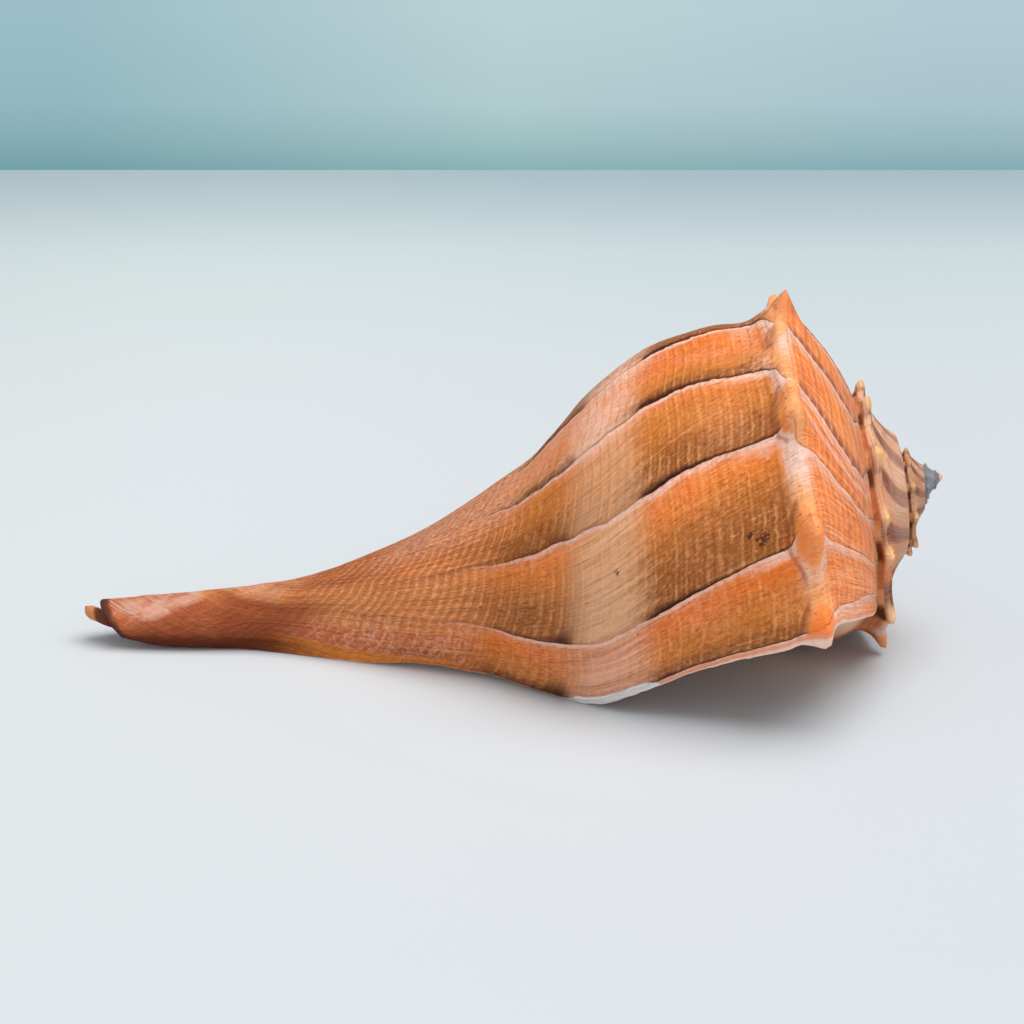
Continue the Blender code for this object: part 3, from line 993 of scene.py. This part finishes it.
    def spire_colour(self):
        """The earlier whorls: worn cream and rose with red brown streaks, and painted shade
        between and beside the knobs.
        """
        early = self.b.rise(300, 312)
        shade = self.mix(self.cloud.rise(0.38, 0.6), (0.84, 0.29, 0.12), (0.95, 0.53, 0.32))
        place = ((self.b - (KNOB_START - 0.5 * KNOB_GAP)) / KNOB_GAP).fraction()
        sway = place + (self.cloud - 0.5) * 0.35
        streak = (sway - 0.5).size().fall(0.13, 0.28)
        streak = streak + self.lines.rise(0.56, 0.64) * 0.6
        shade = self.mix(streak * 0.9, shade, (0.25, 0.062, 0.034))
        shade = self.mix(self.fine_lines.rise(0.5, 0.62) * 0.3, shade, (0.95, 0.66, 0.5))
        seam = self.s.fall(17.8, 20.5)
        shade = self.mix(seam * 0.4, shade, (0.82, 0.5, 0.37))
        # Painted shade below the crest: dark brown between the knobs, a paler orange at each
        # knob.
        near = (place - 0.5).size().fall(0.1, 0.24)
        tone = self.mix(self.b.rise(560, 640), (0.62, 0.19, 0.065), (0.3, 0.12, 0.065))
        tone = self.mix(near * 0.8, tone, (0.97, 0.46, 0.2))
        shade = self.mix(self.s.rise(29.7, 30.8) * 0.95, shade, tone)
        # Painted shade: a dark hollow on one side of each knob.
        hollow = self.s.rise(29.9, 31.2) * place.band(0.06, 0.18, 0.34, 0.46)
        shade = self.mix(hollow * 0.9, shade, (0.11, 0.024, 0.01))
        crown = self.s.band(26.4, 27.8, 29.9, 30.9) * self.knob.rise(1, 2.3)
        shade = self.mix(crown * 0.95, shade, (1.0, 0.55, 0.22))
        crown = self.s.band(28.4, 28.9, 29.6, 30.1) * (0.15 + self.knob.rise(0.2, 1.5) * 0.4)
        shade = self.mix(crown, shade, (0.98, 0.7, 0.5))
        grey = self.b.rise(820, 1000)
        shade = self.mix(grey * 0.92, shade, (0.46, 0.49, 0.55))
        shade = self.mix(self.b.rise(1490, 1560), shade, (0.72, 0.42, 0.24))
        self.lay(early, shade)

    def edge_colour(self):
        """Dark edges and smears on the older side, a pale line on the younger."""
        last_whorl = self.b.fall(296, 310)
        near = self.s_worn.band(30, 33, 56.5, 59) * last_whorl
        far = self.s_worn.band(70.5, 73, 80, 90)
        blot = self.s_worn.band(69.5, 71.5, 73.5, 77)
        wide = 0.035 + 0.075 * self.s.rise(40, 56) + blot * 0.12
        wide = wide + far * self.b.fall(8, 14) * 0.22
        reach = (self.t / wide).rise(0.15, 1)
        far = far * (0.95 - self.b.rise(44, 52) * 0.45)
        deep = 0.5 + 0.5 * self.s_worn.rise(40, 53)
        smear = (1 - reach) * (near * deep + far * (0.55 + blot * 0.45)) * self.on_body
        self.lay(smear * 0.95, SMEAR)
        line = self.t.fall(0.012, 0.04) * (near * deep + far * 0.7) * self.on_body
        line = line * (0.45 + 0.55 * self.cloud.rise(0.4, 0.56))
        self.lay(line * 0.95, DARK_EDGE)
        faint = self.t.fall(0, 0.05) * (self.cream_band + self.on_canal * 0.6)
        self.lay(faint * 0.4, (0.4, 0.15, 0.08))
        pale = (self.t + (self.cloud - 0.5) * 0.12).rise(0.93, 0.975) * (1 - self.on_canal)
        pale = pale * (0.4 + 0.6 * self.fleck.rise(0.38, 0.56)) * last_whorl
        self.lay(pale * 0.8, PALE)
        pale = (self.t + (self.grit - 0.5) * 0.2).rise(0.8, 0.96)
        pale = pale * self.s.band(27, 29, 32.5, 42) * last_whorl
        self.lay(pale * 0.75, PALE)
        crack = self.stage.band(-0.24, -0.205, -0.2, -0.175)
        crack = crack * self.s.band(30, 33, 54, 62)
        self.lay(crack * 0.7, (0.45, 0.13, 0.075))
        pit = self.speck.rise(0.67, 0.73) * self.grit.rise(0.5, 0.62)
        self.lay(pit * 0.6, (0.13, 0.04, 0.018))

    def knob_colour(self):
        """Orange knobs with a painted highlight along the ridge, small holes and painted
        shade at the foot.
        """
        # Painted highlight: a lighter orange line along the knobs' ridge.
        ridge_highlight = self.s_worn.band(27.4, 28.6, 30.2, 31.4) * self.cloud.rise(0.32, 0.52)
        ridge_highlight = ridge_highlight * self.b.rise(20, 28)
        tone = self.mix(self.cloud.rise(0.42, 0.6), (0.98, 0.2, 0.02), (0.99, 0.31, 0.07))
        tone = self.mix(ridge_highlight * self.grit.rise(0.3, 0.52) * 0.7, tone, (1.0, 0.45, 0.19))
        tone = self.mix(self.b.band(60, 63, 70, 74) * 0.5, tone, (0.96, 0.6, 0.46))
        tone = self.mix(self.b.band(78, 84, 96, 102) * 0.6, tone, (0.62, 0.2, 0.085))
        self.lay(self.peak * 0.92, tone)
        hole = self.speck.rise(0.66, 0.7) * self.cloud.rise(0.45, 0.55) * self.peak
        self.lay(hole * 0.8, (0.36, 0.085, 0.025))
        # Painted shade: a dark line at the foot of each knob, below it.
        foot = self.bulge.band(0.95, 1.15, 1.25, 1.5) * self.s.rise(30.4, 31.4)
        foot = foot * self.b.fall(290, 305) * self.grit.rise(0.3, 0.55)
        self.lay(foot * 0.6, (0.34, 0.06, 0.014))

    def lip_colour(self):
        """The fresh strip at the lip, its pale rim and the chalky part."""
        edge = self.lip + (self.grit - 0.5) * 1.2
        fresh = edge.fall(0.9, 1.4) * (1 - self.cream_band)
        self.lay(fresh * 0.75, (0.92, 0.34, 0.17))
        rim = edge.fall(0.1, 0.55)
        self.lay(rim * 0.8, (0.94, 0.66, 0.54))
        worn = self.s_worn.band(55, 59, 70, 73.5)
        chalk = (edge - worn * 3.4).fall(-0.4, 0.5)
        self.lay(chalk * worn.rise(0.05, 0.3), CHALK)

    def tip_colour(self):
        """The canal's brown, frosted end: dark underside and rim, a painted highlight on its
        top near the tip, painted shade along its lowest edge by the table, and the nub.
        """
        deep = self.s.band(114, 124, 136, 139) * self.b.fall(34, 50)
        deep = deep * (0.5 + self.cloud.rise(0.35, 0.6) * 0.35)
        self.lay(deep, (0.33, 0.07, 0.024))
        tip = self.s.band(137, 138.5, 140.5, 142.5) * self.b.rise(-22, -10)
        # Partly painted highlight: a pale patch on the canal's top before the tip; the rest
        # is frost at the tip itself.
        tip = tip.most(self.s.rise(127, 134) * self.b.rise(36, 52) * 0.6)
        frost = self.cloud.rise(0.36, 0.54) * self.grit.rise(0.3, 0.58)
        self.lay(tip * frost * 0.5, (0.9, 0.6, 0.48))
        arcs = self.s.rise(139, 142) * self.lines.rise(0.48, 0.58)
        self.lay(arcs * 0.5, (0.86, 0.56, 0.44))
        # Painted shade: darker where the canal's lowest part, near its tip, lies close to the
        # table.
        side, _, height = self.split(self.place())
        low = (height + (self.grit - 0.5) * 0.002).fall(0.0018, 0.004)
        low = low * side.fall(-0.045, -0.025)
        self.lay(low * 0.85, (0.13, 0.022, 0.008))
        ring = self.knob + (self.grit - 0.5) * 0.8
        self.lay(ring.fall(-1.05, -0.6) * 0.92, (0.12, 0.03, 0.018))
        self.lay(ring.fall(-5.4, -4.8) * 0.9, (0.68, 0.25, 0.105))

    def chips(self):
        """A few chips in the surface, dark to the bottom."""
        dark = sum(self.chip(*place) for place in CHIPS)
        self.lay(dark * 0.9, (0.085, 0.022, 0.01))

    def chip(self, b, s, size):
        """A small ragged chip in the surface at a growth place."""
        away_b = (self.b - b) * 0.7
        away_s = self.s - s
        away = (away_b * away_b + away_s * away_s) ** 0.5
        return (away / size + (self.fleck - 0.5) * 3.4).fall(0.45, 0.75)

    def hollow_colour(self):
        """Smooth glaze inside: pale peach and orange in soft patches, with paler streaks."""
        glaze = self.mix(self.cloud.rise(0.3, 0.7), (0.86, 0.55, 0.38), (0.84, 0.42, 0.22))
        pale = self.mix(self.lines.rise(0.35, 0.65) * 0.4, glaze, (0.92, 0.72, 0.6))
        self.lay(self.inside.rise(0.15, 0.85), pale)

    def gloss(self):
        """Dull outside, smooth inside, with a thin shine on the knobs."""
        outer = 0.42 + (self.grit - 0.5) * 0.24 + self.lines.fall(0.35, 0.6) * 0.1
        self.feed("Roughness", outer * (1 - self.inside) + self.inside * 0.26)
        self.feed("Specular IOR Level", 0.12)
        self.feed("Coat Weight", self.peak * 0.25)
        self.feed("Coat Roughness", 0.35)

    def ribs(self):
        """Fine relief in millimetres: cords, growth lines and grain."""
        body = self.inside.fall(0.1, 0.6)
        height = self.cords * (0.055 + self.roped * 0.03)
        height = height + self.threads * 0.022 * (1 + self.on_ramp)
        height = height + (self.lines - 0.5) * 0.62 + (self.fine_lines - 0.5) * 0.26
        height = height + (self.fleck - 0.5) * 0.1
        height = height + (self.grit - 0.5) * 0.12 + (self.speck - 0.5) * 0.03
        drop = self.t.fall(0, 0.03) * 0.2
        height = (height - drop * (1 - self.on_canal)) * body
        bump = self.value("Bump", {}, 0, Strength=1.0, Distance=0.001, Height=height)
        self.feed("Normal", bump)


# ------------------------------------------------------------------- stage
# The table's cool colour from its near edge to the wall, with painted light: brightest
# partway back, darker at the near edge and by the wall.
FLOOR_TONE_AND_FALLOFF = [(0.0, (0.58, 0.603, 0.627)), (0.4, (0.64, 0.668, 0.688)),
                (0.7, (0.655, 0.735, 0.74)), (0.95, (0.515, 0.642, 0.682))]
FLOOR_NEAR = -0.1
FLOOR_RUN = 0.686
# Painted light across the table: lighter at the left, darker at the right.
FLOOR_LEFT_LIGHT = (1.06, 1.05, 1.04)
FLOOR_RIGHT_SHADE = (0.91, 0.92, 0.94)
# The wall's teal, with painted light: darker low down by the table.
WALL_TONE_AND_LIGHT = [(0.0, (0.2, 0.385, 0.43)), (0.12, (0.28, 0.455, 0.495)),
               (0.3, (0.36, 0.53, 0.585)), (0.7, (0.41, 0.575, 0.63))]
# Painted light across the wall: darker at the left, brightest in the middle.
WALL_SIDE_LIGHT = [(0.1, (0.78, 0.87, 0.9)), (0.5, (1.2, 1.13, 1.05)), (0.9, (1.08, 1.02, 1.04))]
FLOOR_SIZE = (3.0, 1.786)
FLOOR_MIDDLE = (0.0, -0.307, 0.0)
WALL_SIZE = (3.0, 1.6)
WALL_MIDDLE = (0.0, 0.586, 0.8)
CAMERA_PLACE = (0.0004, -0.3262, 0.1323)
CAMERA_DOWN = 18.0
CAMERA_LENS = 70.0
SKY = (0.93, 0.97, 1.0)
SKY_STRENGTH = 0.62
# Lights: name, place, where it points, width and height, watts and colour.
LIGHTS = [
    ("window", (0.24, -0.05, 0.88), (0.0, 0.0, 0.0), (0.8, 0.8), 8.9, (1.0, 0.99, 0.97)),
    ("white_card", (-0.05, -0.75, 0.2), (0.0, 0.0, 0.03), (0.9, 0.4), 0.9, (1.0, 0.96, 0.96)),
]


def floor_material():
    """A plain pale table with painted light: cooler and darker towards the wall, lighter at
    the left and darker at the right.
    """
    look = Nodes("pale_table")
    side, away, _ = look.split(look.place())
    # Painted light falloff from the near edge to the wall.
    colour = look.ramp((away - FLOOR_NEAR) / FLOOR_RUN, FLOOR_TONE_AND_FALLOFF)
    # Painted light: lighter at the left of the table, darker at the right.
    tone = look.mix(side.rise(-0.14, 0.13), FLOOR_LEFT_LIGHT, FLOOR_RIGHT_SHADE)
    colour = look.mix(1.0, colour, tone, "MULTIPLY")
    grain = look.noise(look.vector(side * 14.0, away * 600.0, 0.0), 1.0)
    look.feed("Base Color", look.mix(grain * 0.05, colour, (0.62, 0.66, 0.7)))
    look.feed("Roughness", 0.55)
    look.feed("Specular IOR Level", 0.25)
    return look.material


def wall_material():
    """A plain teal wall, seen with painted light on it that is darker low down and at the
    left, but throwing only an even, faint light.
    """
    look = Nodes("teal_wall")
    side, _, up = look.split(look.place())
    # Painted light: darker low down, and darker at the left than in the middle.
    colour = look.ramp(up * 10.0, WALL_TONE_AND_LIGHT)
    tone = look.ramp(side * 2.0 + 0.5, WALL_SIDE_LIGHT)
    colour = look.mix(1.0, colour, tone, "MULTIPLY")
    cloud = look.noise(look.place(), 9.0, 3.0)
    colour = look.mix(cloud * 0.1, colour, (0.52, 0.68, 0.7))
    seen = look.value("LightPath", {}, "Is Camera Ray")
    look.feed("Base Color", paint((0.0, 0.0, 0.0)))
    look.feed("Emission Color", look.mix(seen, (0.2, 0.25, 0.27), colour))
    look.feed("Emission Strength", 1.0)
    look.feed("Specular IOR Level", 0.0)
    return look.material


def flat_piece(name, size, middle, turned, material):
    """A plane of the given size, turned upright where turned is 90 degrees."""
    bpy.ops.object.select_all(action="DESELECT")
    bpy.ops.mesh.primitive_plane_add(size=1.0)
    plane = bpy.context.object
    plane.name = name
    grow = Matrix.Diagonal((size[0], size[1], 1.0, 1.0))
    turn = Matrix.Rotation(radians(turned), 4, "X")
    plane.data.transform(Matrix.Translation(middle) @ turn @ grow)
    plane.data.materials.append(material)
    return plane


def stage():
    floor = flat_piece("table_top", FLOOR_SIZE, FLOOR_MIDDLE, 0.0, floor_material())
    back = flat_piece("back_wall", WALL_SIZE, WALL_MIDDLE, 90.0, wall_material())


def area_light(name, place, target, size, power, colour):
    lamp = bpy.data.lights.new(name, "AREA")
    lamp.shape = "RECTANGLE"
    lamp.size, lamp.size_y = size
    lamp.energy = power
    lamp.color = colour
    obj = bpy.data.objects.new(name, lamp)
    obj.location = place
    aim = Vector(target) - Vector(place)
    obj.rotation_euler = aim.to_track_quat("-Z", "Y").to_euler()
    bpy.context.scene.collection.objects.link(obj)


def lights():
    """A soft room, a large window above, and a white card in front."""
    world = bpy.data.worlds.new("soft_room")
    world.use_nodes = True
    sky = world.node_tree.nodes["Background"]
    sky.inputs["Color"].default_value = paint(SKY)
    sky.inputs["Strength"].default_value = SKY_STRENGTH
    bpy.context.scene.world = world
    for light in LIGHTS:
        area_light(*light)


def camera():
    data = bpy.data.cameras.new("view")
    data.lens = CAMERA_LENS
    data.sensor_width = 36.0
    data.clip_start = 0.01
    data.dof.use_dof = False
    obj = bpy.data.objects.new("view", data)
    obj.location = CAMERA_PLACE
    obj.rotation_euler = (radians(90.0 - CAMERA_DOWN), 0.0, 0.0)
    bpy.context.scene.collection.objects.link(obj)
    bpy.context.scene.camera = obj


bpy.context.scene.view_settings.view_transform = "Standard"
camera()
lights()
stage()
shell = shell_object()
shell.data.materials.append(ShellLook().material)
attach(shell, "root")
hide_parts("shell")
